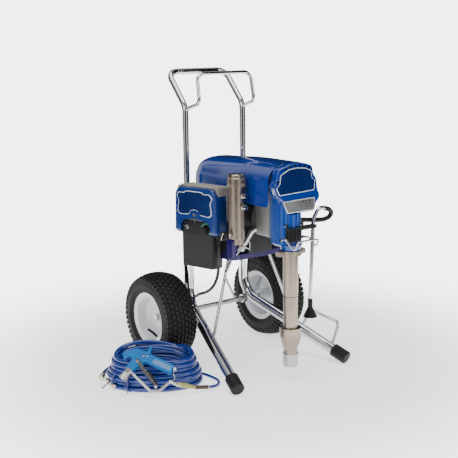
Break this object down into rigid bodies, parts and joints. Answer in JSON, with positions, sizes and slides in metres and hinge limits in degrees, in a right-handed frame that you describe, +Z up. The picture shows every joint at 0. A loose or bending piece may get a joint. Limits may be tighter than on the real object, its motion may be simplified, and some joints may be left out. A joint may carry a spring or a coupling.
{
  "type": "airless paint sprayer",
  "caption": "Electric piston paint sprayer on a two-wheeled chrome cart, with telescoping handle, front fluid pump, filter, control box, coiled hose and spray gun.",
  "frame": {"origin": "on the floor, at the bottom centre of the machine without its hose, gun and supply lead", "axes": "+Z up, +Y towards the wheels and handle, the pump faces -Y, +X to the right seen from the pump side looking back"},
  "size_m": [0.8957, 0.8602, 1.056],
  "materials": {
    "chrome": "bright chrome plating",
    "white_plastic": "moulded, satin",
    "black_rubber": "matt rubber",
    "tyre_rubber": "treaded, matt",
    "white_rim": "gloss powder coat",
    "navy_paint": "gloss powder coat",
    "blue_plastic": "high gloss moulding",
    "blue_casting": "gloss enamel on a casting",
    "plate_blue": "printed plate, no lettering",
    "plate_silver": "brushed plate, no lettering",
    "nickel": "nickel plate, fine turned",
    "steel": "turned steel",
    "aluminium": "as cast, blasted",
    "black_plastic": "moulded, fine grain",
    "charcoal_box": "textured powder coat",
    "grey_box": "satin paint",
    "black_paint": "satin paint",
    "hose_blue": "gloss jacket",
    "cord_black": "smooth jacket",
    "brass": "machined",
    "gun_blue": "gloss powder coat",
    "sleeve_green": "translucent sleeve"
  },
  "bodies": {
    "frame": {"right_frame_tube": "chrome", "left_frame_tube": "chrome", "foot_caps": "black_rubber", "tube_bushings": "white_plastic", "axle": "chrome", "frame_braces": "chrome", "lift_loop": "chrome", "motor_tray": "navy_paint", "motor_shroud": "blue_plastic", "front_cover": "blue_plastic", "name_plate": "plate_blue", "badge_plate": "plate_silver", "motor_housing": "black_paint", "gearbox_housing": "aluminium", "drive_housing": "blue_casting", "rod_guard": "black_plastic", "cover_screws": "steel", "pump_lock_nut": "nickel", "pump_cylinder": "nickel", "intake_housing": "nickel", "suction_strainer": "steel", "drain_tube": "steel", "drain_hose": "black_rubber", "drain_deflector": "black_rubber", "drain_clip": "black_plastic", "manifold_body": "nickel", "filter_cap": "nickel", "filter_element": "steel", "manifold_fittings": "steel", "jumper_hose": "steel", "control_housing": "grey_box", "control_cover": "blue_plastic", "control_panel": "black_plastic", "electronics_box": "charcoal_box", "cord_gland": "black_rubber", "supply_lead": "cord_black", "supply_lead_coil": "cord_black", "supply_plug": "black_rubber", "hose_coil": "hose_blue", "hose_fitting": "brass", "whip_hose": "hose_blue", "gun_body": "gun_blue", "gun_nozzle": "steel", "gun_fluid_tube": "steel", "whip_guard": "sleeve_green"},
    "handle": {"handle_tube": "chrome", "hose_rack": "chrome"},
    "left_wheel": {"left_tyre": "tyre_rubber", "left_rim": "white_rim"},
    "right_wheel": {"right_tyre": "tyre_rubber", "right_rim": "white_rim"},
    "rotor": {"motor_rotor": "steel"},
    "crank": {"crank": "steel"},
    "connecting_rod": {"connecting_rod": "steel"},
    "pump_rod": {"displacement_rod": "steel"},
    "pail_hook": {"pail_hook": "chrome"},
    "pressure_knob": {"pressure_knob": "black_plastic"},
    "power_switch": {"power_switch": "steel"},
    "drain_valve_knob": {"drain_valve_knob": "black_plastic"},
    "gun_trigger": {"gun_trigger": "steel"}
  },
  "joints": [
    {"name": "handle_slide", "type": "slide", "parent": "frame", "child": "handle", "axis": [0, 0, 1], "range_m": [-0.24, 0]},
    {"name": "left_wheel_spin", "type": "hinge", "parent": "frame", "child": "left_wheel", "pos_m": [-0.255, 0.17915, 0.165], "axis": [1, 0, 0], "continuous": true},
    {"name": "right_wheel_spin", "type": "hinge", "parent": "frame", "child": "right_wheel", "pos_m": [0.255, 0.17915, 0.165], "axis": [1, 0, 0], "continuous": true},
    {"name": "rotor_spin", "type": "hinge", "parent": "frame", "child": "rotor", "pos_m": [-0.015, -0.02085, 0.56], "axis": [0, 1, 0], "continuous": true},
    {"name": "crank_spin", "type": "hinge", "parent": "frame", "child": "crank", "pos_m": [-0.015, -0.22085, 0.615], "axis": [0, 1, 0], "continuous": true},
    {"name": "connecting_rod_swing", "type": "hinge", "parent": "crank", "child": "connecting_rod", "pos_m": [-0.015, -0.27485, 0.6023], "axis": [0, 1, 0], "continuous": true},
    {"name": "pump_stroke", "type": "slide", "parent": "frame", "child": "pump_rod", "axis": [0, 0, 1], "range_m": [0, 0.0254]},
    {"name": "pail_hook_swing", "type": "hinge", "parent": "frame", "child": "pail_hook", "pos_m": [-0.015, -0.28285, 0.501], "axis": [1, 0, 0], "range_deg": [-60, 45]},
    {"name": "pressure_knob_turn", "type": "hinge", "parent": "frame", "child": "pressure_knob", "pos_m": [-0.20484, -0.0416, 0.516], "axis": [-0.9703, -0.2419, 0], "range_deg": [-135, 135]},
    {"name": "power_switch_tilt", "type": "hinge", "parent": "frame", "child": "power_switch", "pos_m": [-0.21303, 0.04911, 0.517], "axis": [-0.2419, 0.9703, 0], "range_deg": [-28, 0]},
    {"name": "drain_valve_turn", "type": "hinge", "parent": "frame", "child": "drain_valve_knob", "pos_m": [-0.193, -0.14185, 0.511], "axis": [-1, 0, 0], "range_deg": [0, 180]},
    {"name": "gun_trigger_pull", "type": "hinge", "parent": "frame", "child": "gun_trigger", "pos_m": [-0.48955, -0.04556, 0.10715], "axis": [-0.4691, -0.6332, 0.6156], "range_deg": [0, 20], "stiffness_Nm_per_rad": 2, "springref_deg": -11.46}
  ],
  "couplings": [
    {"joint": "crank_spin", "follows": "rotor_spin", "ratio": -0.2},
    {"joint": "connecting_rod_swing", "follows": "rotor_spin", "ratio": 0.2}
  ]
}
